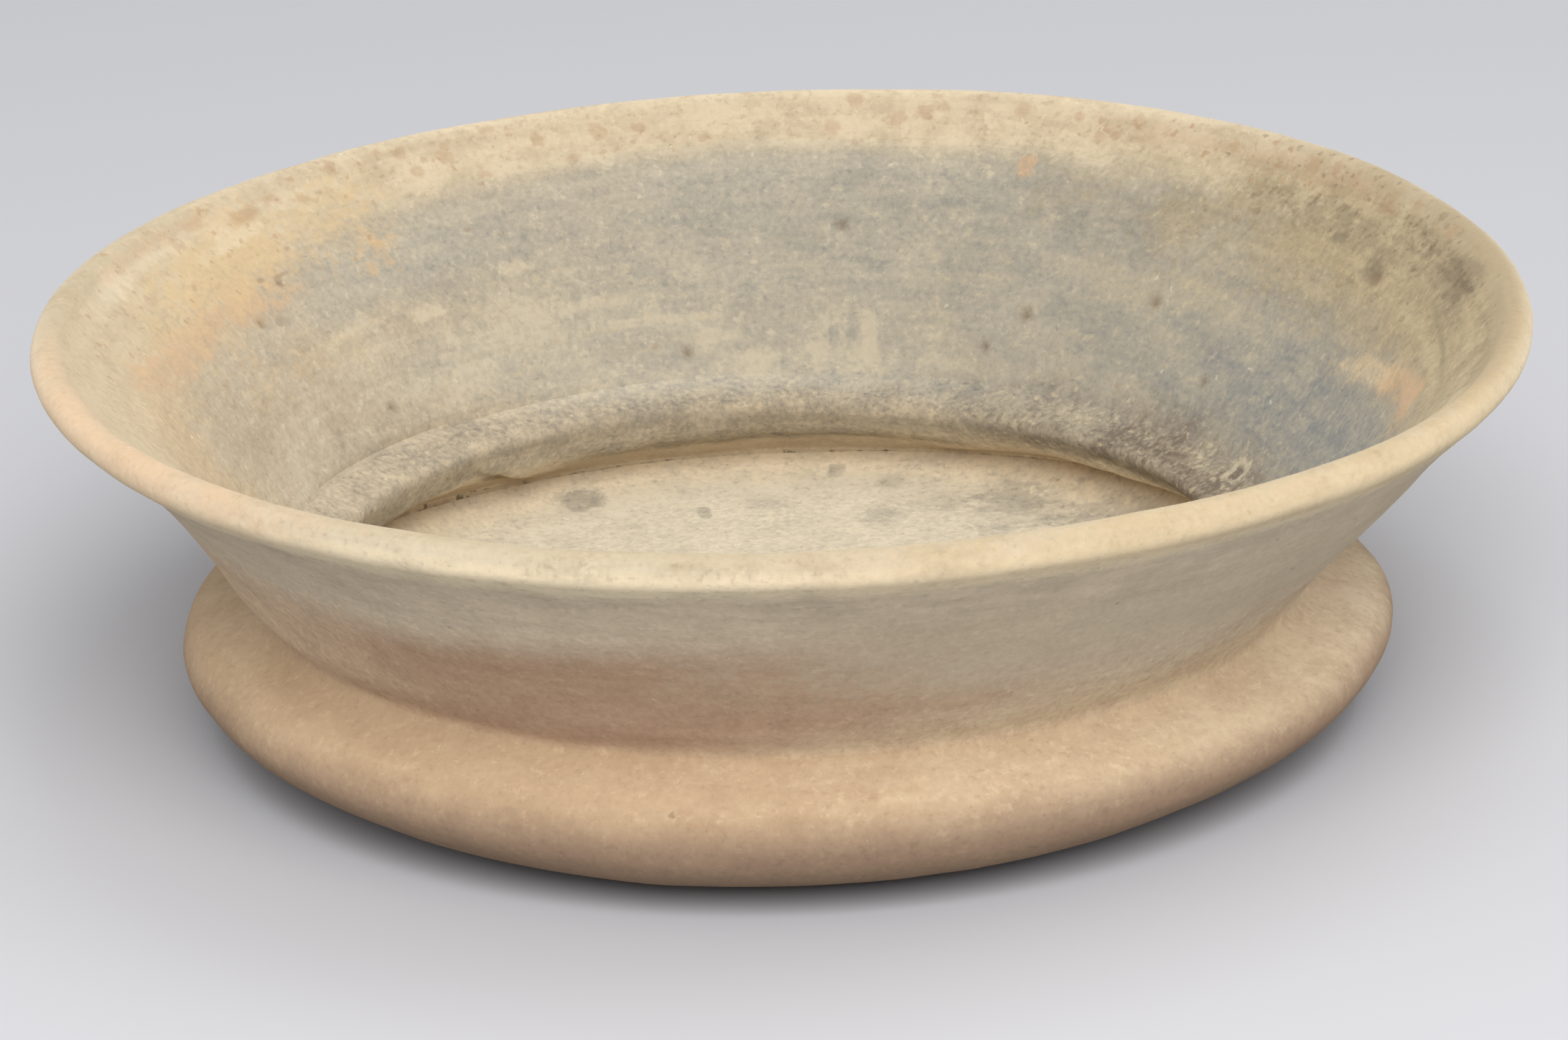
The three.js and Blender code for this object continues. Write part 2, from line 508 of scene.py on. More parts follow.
def pitted(around, along):
    """How deep a place lies in one of the small pits that burnt-out grit left, from 0 to 1."""
    depth = np.zeros(np.broadcast(around, along).shape)
    for place, above, width in PITS:
        across = turn_between(around, place) * math.radians(1) * WALL_TURN
        depth += hump(0, 1, np.hypot(across, along - GROOVE_LINE - above) / width)
    return depth


def formed_skin():
    """Every point of the skin round the bowl, as an array of section by turns by three."""
    radius, height = out_of_round(SECTION[:, :1], SECTION[:, 1:], AROUND)
    along = ALONG[:, None] / MM
    height = height + uneven_crease(AROUND, along) + sunken_shoulder(AROUND, along)
    angle = np.radians(AROUND)
    places = np.stack([radius * np.cos(angle), radius * np.sin(angle), height], -1)

    ahead = np.gradient(SECTION, axis=0)
    ahead /= np.linalg.norm(ahead, axis=1)[:, None]
    outward, upward = -ahead[:, 1:], ahead[:, :1]
    normals = np.stack(np.broadcast_arrays(outward * np.cos(angle), outward * np.sin(angle), upward), -1)

    relief = surface_relief(places, AROUND, along)
    resting = smooth(0, 1.2 * MM, height)
    places += normals * (relief * resting)[..., None]
    places[..., 2] = np.maximum(places[..., 2], 0)
    return fitted_to_frame(places)


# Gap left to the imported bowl's box, at its sides and top
HAIR = 0.002 * MM


def fitted_to_frame(places):
    """The same points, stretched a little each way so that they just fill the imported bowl's box."""
    low, high = places.min((0, 1)), places.max((0, 1))
    wanted_low = np.array(cad_low) + [HAIR, HAIR, 0]
    wanted_high = np.array(cad_high) - HAIR
    return wanted_low + (places - low) * (wanted_high - wanted_low) / (high - low)


SKIN = formed_skin()


# The pieces of clay, each closed by its joint faces

def whole(stretch):
    """A run that is one stretch from its first point to its last."""
    return stretch, stretch


# Each piece's slot and its stretches of skin: inside from and to, and outside from and to
PIECES = {
    "base_disc": ("floor_clay", whole("floor"), whole("foot")),
    "lower_body_ring": ("body_clay", whole("floor_rise"), whole("underside")),
    "shoulder_coil": ("shoulder_clay", ("under_roll", None), whole("shoulder_top")),
    "neck_coil": ("neck_clay", ("under_roll", "roll_top"), ("shoulder_top", None)),
    "lower_wall_band": ("wall_clay", whole("lower_wall_inside"), whole("lower_wall_outside")),
    "upper_wall_band": ("wall_clay", whole("upper_wall_inside"), whole("upper_wall_outside")),
    "rim_coil": ("rim_clay", ("rim_inside", "rim_outside"), None),
}

# Edges of a piece sharper than this are shaded as edges
SHARP_EDGE = 35


def rows_of(run):
    """Rows of the skin from a stretch's first point to another's last, or its first point alone."""
    first_stretch, last_stretch = run
    first = ENDS[first_stretch][0]
    last = ENDS[last_stretch][1] if last_stretch else first
    return list(range(first, last + 1))


def clay_piece(name, inside, outside):
    """One piece as a closed mesh, with each point's way along the section and pits as attributes."""
    rows = rows_of(inside) + (rows_of(outside) if outside else [])
    reaches_axis = rows[0] == 0
    rings = rows[1:-1] if reaches_axis else rows
    points = SKIN[rings].reshape(-1, 3)
    along = np.repeat(ALONG[rings] / MM, TURNS)
    in_pit = pitted(AROUND, ALONG[rings][:, None] / MM).ravel()

    ring = np.arange(TURNS)
    ahead = np.roll(ring, -1)
    pairs = [(k, k + 1) for k in range(len(rings) - 1)]
    if not reaches_axis:
        pairs.append((len(rings) - 1, 0))
    faces = []
    for first, second in pairs:
        here, there = first * TURNS, second * TURNS
        quads = np.stack([here + ring, there + ring, there + ahead, here + ahead], 1)
        faces.extend(quads.tolist())
    if reaches_axis:
        top, under = len(points), len(points) + 1
        points = np.vstack([points, SKIN[rows[0]].mean(0), SKIN[rows[-1]].mean(0)])
        along = np.append(along, [ALONG[0] / MM, ALONG[-1] / MM])
        in_pit = np.append(in_pit, [0, 0])
        last = (len(rings) - 1) * TURNS
        faces.extend([top, int(i), int(j)] for i, j in zip(ring, ahead))
        faces.extend([under, int(last + j), int(last + i)] for i, j in zip(ring, ahead))

    mesh = bpy.data.meshes.new(name + "_clay")
    mesh.from_pydata(points.tolist(), [], faces)
    for attribute, values in (("along", along), ("pitted", in_pit)):
        kept = mesh.attributes.new(attribute, "FLOAT", "POINT")
        kept.data.foreach_set("value", values.astype(np.float32))
    mesh.update()
    mesh.shade_smooth()
    mesh.set_sharp_from_angle(angle=math.radians(SHARP_EDGE))
    piece = bpy.data.objects.new(name + "_skin", mesh)
    bpy.context.scene.collection.objects.link(piece)
    return piece


# Shader workings

def paint(red, green, blue):
    """A colour as a painter mixes it, from 0 to 255, in the shader's own linear values."""
    channels = [channel / 255 for channel in (red, green, blue)]
    return tuple(c / 12.92 if c <= 0.04045 else ((c + 0.055) / 1.055) ** 2.4 for c in channels) + (1.0,)


class Workings:
    """A node tree being filled in, with short calls for the nodes that clay needs."""

    def __init__(self, tree):
        self.tree = tree

    def add(self, kind, sockets=None, **settings):
        node = self.tree.nodes.new(kind)
        for name, value in settings.items():
            setattr(node, name, value)
        for name, value in (sockets or {}).items():
            self.feed(node.inputs[name], value)
        return node

    def feed(self, socket, value):
        if isinstance(value, bpy.types.NodeSocket):
            self.tree.links.new(value, socket)
        else:
            socket.default_value = value

    def maths(self, operation, *values, clamp=False):
        node = self.add("ShaderNodeMath", operation=operation, use_clamp=clamp)
        for socket, value in zip(node.inputs, values):
            self.feed(socket, value)
        return node.outputs[0]

    def add_up(self, *values):
        return functools.reduce(lambda total, value: self.maths("ADD", total, value), values)

    def times(self, *values):
        return functools.reduce(lambda total, value: self.maths("MULTIPLY", total, value), values)

    def fade(self, value, start, end, low=0.0, high=1.0):
        sockets = {"Value": value, "From Min": start, "From Max": end, "To Min": low, "To Max": high}
        return self.add("ShaderNodeMapRange", sockets, interpolation_type="SMOOTHSTEP").outputs["Result"]

    def minus(self, value, taken):
        return self.maths("SUBTRACT", value, taken)

    def noise(self, vector, size, detail=2.0, roughness=0.5):
        scale = size if isinstance(size, bpy.types.NodeSocket) else 1 / size
        sockets = {"Vector": vector, "Scale": scale, "Detail": detail, "Roughness": roughness}
        return self.add("ShaderNodeTexNoise", sockets).outputs["Fac"]

    def coloured(self, amount, under, over):
        node = self.add("ShaderNodeMix", data_type="RGBA")
        for index, value in ((0, amount), (6, under), (7, over)):
            self.feed(node.inputs[index], value)
        return node.outputs[2]

    def group(self, name, **sockets):
        node = self.tree.nodes.new("ShaderNodeGroup")
        node.node_tree = bpy.data.node_groups[name]
        for socket_name, value in sockets.items():
            self.feed(node.inputs[socket_name.replace("_", " ")], value)
        return node.outputs


def shader_group(name, inputs, outputs, fill):
    """A shader node group. inputs and outputs are socket names with float, vector or colour."""
    kinds = {"float": "NodeSocketFloat", "vector": "NodeSocketVector", "colour": "NodeSocketColor"}
    tree = bpy.data.node_groups.new(name, "ShaderNodeTree")
    for socket_name, kind in inputs.items():
        tree.interface.new_socket(name=socket_name, in_out="INPUT", socket_type=kinds[kind])
    for socket_name, kind in outputs.items():
        tree.interface.new_socket(name=socket_name, in_out="OUTPUT", socket_type=kinds[kind])
    work = Workings(tree)
    given = work.add("NodeGroupInput").outputs
    results = fill(work, given)
    kept = work.add("NodeGroupOutput")
    for socket_name, value in results.items():
        work.feed(kept.inputs[socket_name], value)


# Radius in millimetres that wiped streaks are spread over, so that each runs far round the bowl
STREAK_SPREAD = 9.0


def fill_bowl_place(work, given):
    """Where a point of the skin is: degrees round, millimetres along the section, and two vectors."""
    own = work.add("ShaderNodeTexCoord").outputs["Object"]
    place = work.add("ShaderNodeVectorMath", {0: own, 3: 1 / MM}, operation="SCALE").outputs[0]
    x, y, _ = work.add("ShaderNodeSeparateXYZ", {"Vector": place}).outputs
    angle = work.maths("ARCTAN2", y, x)
    along = work.add("ShaderNodeAttribute", attribute_name="along").outputs["Fac"]
    turning = work.add("ShaderNodeCombineXYZ", {
        "X": work.times(work.maths("COSINE", angle), STREAK_SPREAD),
        "Y": work.times(work.maths("SINE", angle), STREAK_SPREAD),
        "Z": along,
    })
    return {
        "Around": work.maths("DEGREES", angle),
        "Along": along,
        "Place": place,
        "Turning": turning.outputs[0],
    }


def fill_uneven_edges(work, given):
    """Wandering values about 0, coarse and fine, that make an edge ragged."""
    coarse = work.noise(given["Place"], 9.0, detail=3.0)
    fine = work.noise(given["Place"], 1.7, detail=3.0, roughness=0.65)
    return {
        "Coarse": work.times(work.minus(coarse, 0.5), 2.0),
        "Fine": work.times(work.minus(fine, 0.5), 2.0),
    }


def fill_stain_patch(work, given):
    """A squarish oval patch at a place round and along, with a soft and ragged edge."""
    aside = work.maths("WRAP", work.minus(given["Around"], given["Turn"]), 180.0, -180.0)
    across = work.maths("DIVIDE", aside, given["Half Turn"])
    line = work.add_up(given["Line"], work.times(aside, given["Slant"]))
    up = work.maths("DIVIDE", work.minus(given["Along"], line), given["Half Height"])
    cubes = [work.maths("POWER", work.maths("ABSOLUTE", reach), 3.0) for reach in (across, up)]
    far = work.maths("POWER", work.add_up(*cubes), 1 / 3)
    ragged = work.add_up(far, given["Ragged"])
    start = work.add_up(1.0, work.times(given["Softness"], 0.5))
    end = work.minus(1.0, work.times(given["Softness"], 0.5))
    return {"Mask": work.fade(ragged, start, end)}


def fill_worn_mottle(work, given):
    """Share of pale skin left over the bare clay, grain by grain, about an even cover."""
    grain = work.noise(given["Place"], given["Fineness"], detail=5.0, roughness=0.6)
    blotch = work.noise(given["Place"], 5.5, detail=3.0, roughness=0.55)
    wiped = work.noise(given["Turning"], 1.7, detail=4.0, roughness=0.6)
    share = work.add_up(
        given["Cover"],
        work.times(work.minus(grain, 0.5), given["Grain"]),
        work.times(work.minus(blotch, 0.5), given["Blotch"]),
        work.times(work.minus(wiped, 0.5), given["Wiped"]),
    )
    cluster = work.noise(given["Place"], 1.5, detail=4.0, roughness=0.7)
    fleck = work.fade(cluster, 0.54, 0.68, 0.0, 0.34)
    scrape = work.noise(given["Place"], 0.9, detail=3.0, roughness=0.6)
    bare = work.fade(scrape, 0.44, 0.32, 0.0, 0.2)
    return {"Mask": work.maths("SUBTRACT", work.maths("ADD", share, fleck), bare, clamp=True)}


def fill_clay_specks(work, given):
    """Specks in some of the cells of an even scatter. Share is how many cells have one."""
    sockets = {"Vector": given["Place"], "Scale": 0.9, "Detail": 3.0}
    stray = work.add("ShaderNodeTexNoise", sockets).outputs["Color"]
    sockets = {0: stray, 1: (1.6, 1.6, 1.6), 2: given["Place"]}
    strayed = work.add("ShaderNodeVectorMath", sockets, operation="MULTIPLY_ADD").outputs[0]
    sockets = {"Vector": strayed, "Scale": given["Closeness"]}
    scatter = work.add("ShaderNodeTexVoronoi", sockets)
    chance = work.add("ShaderNodeSeparateColor", {0: scatter.outputs["Color"]}).outputs
    picked = work.maths("LESS_THAN", chance[0], given["Share"])
    size = work.times(given["Size"], work.fade(chance[1], 0.0, 1.0, 0.5, 1.2))
    spot = work.fade(scatter.outputs["Distance"], size, work.times(size, 0.45))
    return {"Mask": work.times(picked, spot)}


def fill_grit_height(work, given):
    """Height of the skin's finest grain, for a bump."""
    sand = work.noise(given["Place"], 0.5, detail=3.0, roughness=0.65)
    lumps = work.noise(given["Place"], 1.8, detail=3.0, roughness=0.55)
    wiped = work.noise(given["Turning"], 0.8, detail=3.0, roughness=0.6)
    pores = work.add("ShaderNodeTexVoronoi", {"Vector": given["Place"], "Scale": 0.9}).outputs["Distance"]
    pore = work.fade(pores, 0.05, 0.2, -1.0, 0.0)
    return {"Height": work.add_up(
        work.times(sand, given["Sand"]),
        work.times(lumps, 0.2),
        work.times(wiped, given["Wiping"]),
        work.times(pore, given["Pores"]),
    )}


# Clay colours, as painted: first bare clay, then the pale skin over it
GREY = paint(150, 147, 139)
BLUE_GREY = paint(134, 134, 130)
WARM_GREY = paint(172, 152, 126)
RIM_BROWN = paint(176, 156, 124)
SMOKED = paint(128, 114, 92)
ROLL_GREY = paint(130, 122, 111)
FLOOR_GREY = paint(164, 154, 136)
BAND_GREY = paint(196, 180, 156)
BAND_BROWN = paint(180, 146, 118)
SHOULDER_BROWN = paint(188, 156, 124)
# Partly the underside's own brown and partly painted shade
UNDER_BROWN_AND_SHADE = paint(152, 126, 105)
CREAM = paint(205, 194, 171)
TAN = paint(194, 181, 154)
STRAW = paint(214, 192, 155)
RIM_CREAM = paint(219, 203, 173)
RIM_BUFF = paint(204, 187, 157)
RIM_TAN = paint(184, 167, 134)
ROLL_CREAM = paint(202, 186, 158)
OCHRE = paint(214, 196, 167)
UNDER_ROLL = paint(190, 168, 138)
ROLL_BROWN = paint(122, 108, 92)
# Painted light: a pale cream laid where the lamps leave the clay in shade
PAINTED_LIGHT_SAND = paint(242, 224, 194)
FLOOR_CREAM = paint(216, 203, 177)
BAND_CREAM = paint(232, 214, 188)
BAND_TAN = paint(208, 177, 148)
BAND_DUSK = paint(214, 198, 172)
BAND_ROSE = paint(232, 206, 173)
PEACH = paint(220, 194, 159)
# Partly the underside's own tan and partly painted shade
UNDER_TAN_AND_SHADE = paint(174, 147, 122)
# Painted light for the floor's edge, against the shade of the crease
FLOOR_EDGE_PAINTED_LIGHT = paint(228, 212, 183)
# Painted shade for the lip's top, which the lamps light most
LIP_TOP_PAINTED_SHADE = paint(196, 180, 152)
LIP_SHADE = paint(176, 159, 130)
LIP_CREAM = paint(220, 206, 180)
# Painted light for the lip's outer side
LIP_PALE_PAINTED_LIGHT = paint(249, 232, 200)
BAND_OLIVE = paint(222, 204, 176)
BUFF = paint(224, 203, 170)
# and the colours of single marks
ORANGE = paint(214, 176, 134)
ROSE = paint(202, 172, 140)
RUST = paint(178, 140, 104)
GOLD = paint(216, 190, 146)
APRICOT = paint(228, 194, 158)
# Dark colour of soot smudges, and of painted shade lines along the roll and the rim's bend
SOOT_AND_SHADE = paint(104, 96, 84)
CHALK = paint(236, 228, 208)
CRUMB = paint(208, 190, 158)
# Dark colour of earthy marks and specks, and of the painted shade in the pits and in the roll's notch
EARTH_AND_SHADE = paint(124, 102, 78)


# Patches of the wall with more or less pale skin: place round, millimetres above the groove, half turn,
# half height, softness, raggedness and gain
WALL_PATCHES = (
    (82, 4.0, 4.0, 4.5, 0.4, 0.7, 0.28),
    (79.2, 4.4, 0.9, 3.8, 0.7, 0.8, 0.24),
    (81.4, 5.8, 0.5, 1.8, 1.2, 1.6, -0.26),
    (83.6, 4.6, 0.4, 2.0, 1.2, 1.6, -0.24),
    (129, 6.5, 10, 6, 1.4, 1.6, 0.2),
    (104, 8.0, 7.5, 0.5, 1.0, 0.9, 0.3),
    (118.8, 18.2, 1.4, 0.8, 1.0, 1.2, 0.32),
    (131.8, 15.1, 2.2, 0.9, 1.0, 1.2, 0.28),
    (142, 15.8, 4.5, 0.8, 1.1, 1.2, 0.26),
    (113, 11.5, 5, 1.0, 1.2, 1.4, 0.22),
    (92.4, 2.3, 1.7, 1.8, 1.0, 1.2, 0.26),
    (97, 5.0, 3.0, 0.8, 1.0, 1.2, 0.2),
    (52, -2.2, 9, 1.2, 1.2, 1.2, 0.4),
    (66, -1.6, 3, 1.2, 1.2, 1.0, -0.2),
    (72, 1.2, 10, 1.2, 1.2, 1.2, 0.2),
    (40, 15, 16, 3, 1.3, 1.0, 0.2),
    (78.8, 13.7, 1.2, 1.0, 1.0, 0.8, -0.3),
    (60, 20, 12, 3, 1.3, 1.0, -0.08),
    (90, 23, 12, 4, 1.3, 1.0, -0.08),
    (50, 26, 16, 3, 1.4, 1.2, -0.14),
    (136, 9, 4, 2, 1.4, 1.8, -0.12),
    (113, 5, 3, 2.4, 1.4, 1.8, -0.1),
)

# The same on the floor, in millimetres within the crease
FLOOR_PATCHES = (
    (116.6, 5.3, 2.9, 2.5, 0.5, 0.7, -0.6),
    (102.3, 14.8, 0.9, 1.8, 0.6, 0.7, -0.5),
    (83.7, 4.2, 0.9, 1.6, 0.6, 0.8, -0.5),
    (76, 6.8, 1.4, 1.4, 1.1, 0.9, -0.25),
    (75, 18, 3.0, 2.6, 1.2, 1.0, -0.3),
    (56, 9, 6.0, 5.0, 1.4, 1.8, -0.42),
    (46, 6, 6.0, 4.0, 1.4, 1.8, -0.24),
    (66, 12, 3.0, 2.6, 1.3, 1.5, -0.3),
    (92, 12, 3.0, 3.0, 1.3, 1.4, -0.2),
    (98, 8, 18, 4.0, 1.3, 1.2, 0.1),
)


def stain(work, spot, mask_of, ragged):
    """How far a place lies within a stain.

    mask_of is (round, along, half turn, half height, softness), then perhaps millimetres of slant a degree.
    """
    turn, line, half_turn, half_height, softness, *slant = mask_of
    edge = work.times(work.add_up(spot["Coarse"], spot["Fine"]), ragged)
    return work.group(
        "stain_patch", Around=spot["Around"], Along=spot["Along"], Turn=turn, Line=line,
        Half_Turn=half_turn, Half_Height=half_height, Softness=softness,
        Slant=slant[0] if slant else 0.0, Ragged=edge,
    )["Mask"]


def fill_clay_zones(work, given):
    """Colours of the bare clay and of the pale skin over it, and the skin's cover, all over the bowl."""
    along, coarse, fine = given["Along"], given["Coarse"], given["Fine"]
    bare, skin, cover = GREY, CREAM, 0.6

    def past(place, soft, stray):
        """0 before a line along and 1 past it, with a soft and straying edge."""
        strayed = work.add_up(along, work.times(coarse, stray), work.times(fine, 0.4 * stray))
        return work.fade(strayed, place - soft / 2, place + soft / 2)

    def short_of(place, soft, stray):
        return work.minus(1.0, past(place, soft, stray))

    def around(turn, line, half_turn, half_height, softness=1.3, ragged=0.45, slant=0.0):
        return stain(work, given, (turn, line, half_turn, half_height, softness, slant), ragged)

    def zone(mask, bare_colour, skin_colour, zone_cover):
        nonlocal bare, skin, cover
        bare = work.coloured(mask, bare, bare_colour)
        skin = work.coloured(mask, skin, skin_colour)
        cover = work.add("ShaderNodeMix", {0: mask, 2: cover, 3: zone_cover}).outputs[0]

    def heaped(mask, gain):
        """More of the pale skin, or less of it, with its colours kept."""
        nonlocal cover
        cover = work.add_up(cover, work.times(mask, gain))

    # Inside of the wall: grey to the right, warm to the left, paler low down behind the roll
    zone(around(24, GROOVE_LINE + 10, 46, 24), GREY, TAN, 0.46)
    zone(around(2, GROOVE_LINE + 6, 32, 13, 1.8), BLUE_GREY, TAN, 0.2)
    zone(around(168, GROOVE_LINE + 20, 44, 40), WARM_GREY, STRAW, 0.56)
    zone(around(122, GROOVE_LINE + 5, 30, 8, 1.5, 0.8), GREY, CREAM, 0.74)
    zone(around(155, GROOVE_LINE + 5, 18, 8), WARM_GREY, CREAM, 0.62)
    zone(around(167, GROOVE_LINE + 14, 12, 8, 1.9, 1.6), WARM_GREY, CREAM, 0.4)
    zone(around(132, LIP_LINE - 14, 22, 7, 1.8), GREY, CREAM, 0.55)
    for turn, line, half_turn, half_height, softness, ragged, gain in WALL_PATCHES:
        heaped(around(turn, GROOVE_LINE + line, half_turn, half_height, softness, ragged), gain)

    # Under the rim: cream, dusky to the right
    zone(past(LIP_LINE - 6.6, 5.5, 2.2), RIM_BROWN, RIM_CREAM, 0.86)
    zone(around(6, LIP_LINE - 6, 40, 11), SMOKED, RIM_TAN, 0.86)
    zone(around(12, LIP_LINE - 9.5, 22, 3.0), SMOKED, RIM_TAN, 0.78)
    zone(around(4, LIP_LINE - 1.5, 18, 2.4, 1.2, 0.9), SMOKED, RIM_TAN, 0.58)
    zone(around(186, LIP_LINE - 3, 42, 9, 1.6), RIM_BROWN, RIM_BUFF, 0.86)
    heaped(around(6, LIP_LINE - 4.5, 9, 2.0, 1.2, 0.9), -0.4)
    heaped(around(25, LIP_LINE - 6.5, 9, 2.2, 1.2, 0.9), -0.3)
    # Painted shade: the lip's top is painted darker, as the lamps light it most
    zone(past(LIP_LINE - 0.6, 3, 0.9), RIM_BROWN, LIP_TOP_PAINTED_SHADE, 0.88)
    zone(around(95, LIP_LINE + 0.5, 52, 2.6, 1.2), RIM_BROWN, RIM_CREAM, 0.84)
    zone(around(-2, LIP_LINE + 1.8, 30, 3.0, 1.2), RIM_BROWN, LIP_SHADE, 0.8)
    zone(past(LIP_LINE + 3.0, 3, 0.5), RIM_BROWN, LIP_CREAM, 0.94)
    # Painted light: the lip's outer side is painted paler, so that the lip's round shows little shading
    zone(past(LIP_LINE + 4.7, 2.0, 0.4), BAND_GREY, LIP_PALE_PAINTED_LIGHT, 0.96)

    # Roll, the ochre clay under it, and the floor
    zone(short_of(GROOVE_LINE - 2.5, 4, 1.0), ROLL_GREY, ROLL_CREAM, 0.56)
    zone(around(96, ROLL_LINE + 2.6, 50, 2.4, 1.2), ROLL_GREY, ROLL_CREAM, 0.76)
    zone(around(142, ROLL_LINE + 6, 22, 7), ROLL_GREY, ROLL_CREAM, 0.66)
    # Painted light: the clay under the roll at its left is painted paler against the roll's shade
    zone(around(131, ROLL_LINE - 2.5, 11, 3), UNDER_ROLL, PAINTED_LIGHT_SAND, 0.84)
    zone(around(22, ROLL_LINE + 6.5, 36, 5.5, 1.3), ROLL_BROWN, TAN, 0.26)
    zone(short_of(ROLL_LINE - 1.4, 2.0, 1.2), UNDER_ROLL, OCHRE, 0.74)
    # Painted light: the clay under the roll at its right is painted paler against the roll's shade
    zone(around(42, ROLL_LINE - 2.5, 28, 4.5, 1.0), UNDER_ROLL, PAINTED_LIGHT_SAND, 0.92)
    # Painted light: the floor's edge by the crease is painted paler, against the shade of the crease and the
    # roll
    zone(short_of(CREASE_LINE + 0.6, 1.6, 0.7), FLOOR_GREY, FLOOR_EDGE_PAINTED_LIGHT, 0.86)
    zone(short_of(CREASE_LINE - 5, 6, 2), FLOOR_GREY, FLOOR_CREAM, 0.78)
    for turn, line, half_turn, half_height, softness, ragged, gain in FLOOR_PATCHES:
        heaped(around(turn, CREASE_LINE - line, half_turn, half_height, softness, ragged), gain)
    heaped(around(18.4, GROOVE_LINE - 0.3, 1.8, 1.6, 0.6, 1.1), 0.6)
    heaped(around(18.2, GROOVE_LINE - 0.4, 0.8, 0.9, 0.7, 0.6), -0.8)

    # Outside of the wall: pale band under the lip, brown band over the neck
    zone(past(LIP_EDGE + 2.4, 3, 1.2), BAND_GREY, BAND_CREAM, 0.68)
    zone(past(NECK_LINE - 12, 14, 2.5), BAND_BROWN, BAND_OLIVE, 0.76)
    zone(around(238, NECK_LINE - 7, 54, 10.5, 0.8, 0.16, -0.14), BAND_BROWN, BAND_TAN, 0.5)
    zone(around(202, NECK_LINE - 6, 24, 10, 1.2, 0.4, -0.14), BAND_BROWN, BAND_ROSE, 0.78)
    zone(around(304, NECK_LINE - 19, 32, 8, 1.4), BAND_GREY, BAND_DUSK, 0.7)
    zone(work.times(past(NECK_LINE - 5, 6, 1.0), around(-35, NECK_LINE, 44, 12)), BAND_BROWN, BUFF, 0.86)

    # Shoulder, and the clay that turns under it, whose brown is partly its own colour and partly painted
    # shade
    zone(past(NECK_LINE - 0.5, 1.6, 0.6), SHOULDER_BROWN, PEACH, 0.66)
    zone(around(-38, NECK_LINE + 6, 44, 9), BAND_BROWN, BUFF, 0.82)
    # Painted light: the shoulder's top by the neck's notch at the right is painted paler against the shade
    # there
    zone(around(-8, NECK_LINE + 3, 20, 5, 1.2), SHOULDER_BROWN, PAINTED_LIGHT_SAND, 0.86)
    zone(around(205, NECK_LINE + 3.0, 27, 3.0, 0.9, 0.9), SHOULDER_BROWN, PEACH, 0.62)
    zone(around(186, NECK_LINE + 1, 16, 5, 1.2), SHOULDER_BROWN, BUFF, 0.86)
    zone(around(212, SHOULDER_LINE - 2.5, 24, 2.2, 1.0, 0.6), SHOULDER_BROWN, PEACH, 0.72)
    # The underside below the shoulder: the clay's brown with painted shade in it
    zone(past(SHOULDER_LINE - 1.2, 6, 1.0), UNDER_BROWN_AND_SHADE, UNDER_TAN_AND_SHADE, 0.46)
    zone(past(FOOT_LINE - 5, 12, 3.0), SHOULDER_BROWN, PEACH, 0.45)
    return {"Bare Clay": bare, "Pale Skin": skin, "Cover": cover}


def make_shader_groups():
    """The shared effects of the clay's finish."""
    spot = {"Around": "float", "Along": "float"}
    vectors = {"Place": "vector", "Turning": "vector"}
    wander = {"Coarse": "float", "Fine": "float"}
    shader_group("bowl_place", {}, {**spot, **vectors}, fill_bowl_place)
    shader_group("uneven_edges", {"Place": "vector"}, wander, fill_uneven_edges)
    patch_inputs = dict.fromkeys(
        ("Turn", "Line", "Half Turn", "Half Height", "Softness", "Slant", "Ragged"), "float"
    )
    shader_group("stain_patch", {**spot, **patch_inputs}, {"Mask": "float"}, fill_stain_patch)
    mottle_inputs = {**vectors, **dict.fromkeys(("Cover", "Fineness", "Grain", "Blotch", "Wiped"), "float")}
    shader_group("worn_mottle", mottle_inputs, {"Mask": "float"}, fill_worn_mottle)
    speck_inputs = {"Place": "vector", "Closeness": "float", "Size": "float", "Share": "float"}
    shader_group("clay_specks", speck_inputs, {"Mask": "float"}, fill_clay_specks)
    grit_inputs = {**vectors, "Sand": "float", "Wiping": "float", "Pores": "float"}
    shader_group("grit_height", grit_inputs, {"Height": "float"}, fill_grit_height)
    zone_outputs = {"Bare Clay": "colour", "Pale Skin": "colour", "Cover": "float"}
    shader_group("clay_zones", {**spot, **wander}, zone_outputs, fill_clay_zones)


# The finish of all the clays
# How strongly the pits are painted with painted shade
PIT_PAINTED_SHADE = 0.7
TONE_LOW, TONE_HIGH = 0.95, 1.05
ROUGH_BARE, ROUGH_PALE = 0.86, 0.95
SPECULAR = 0.25
DIFFUSE_ROUGHNESS = 0.7
PORES = 0.6
SKIN_THICKNESS = 0.12
BUMP_STRENGTH = 0.5
BUMP_DISTANCE = 0.07 * MM


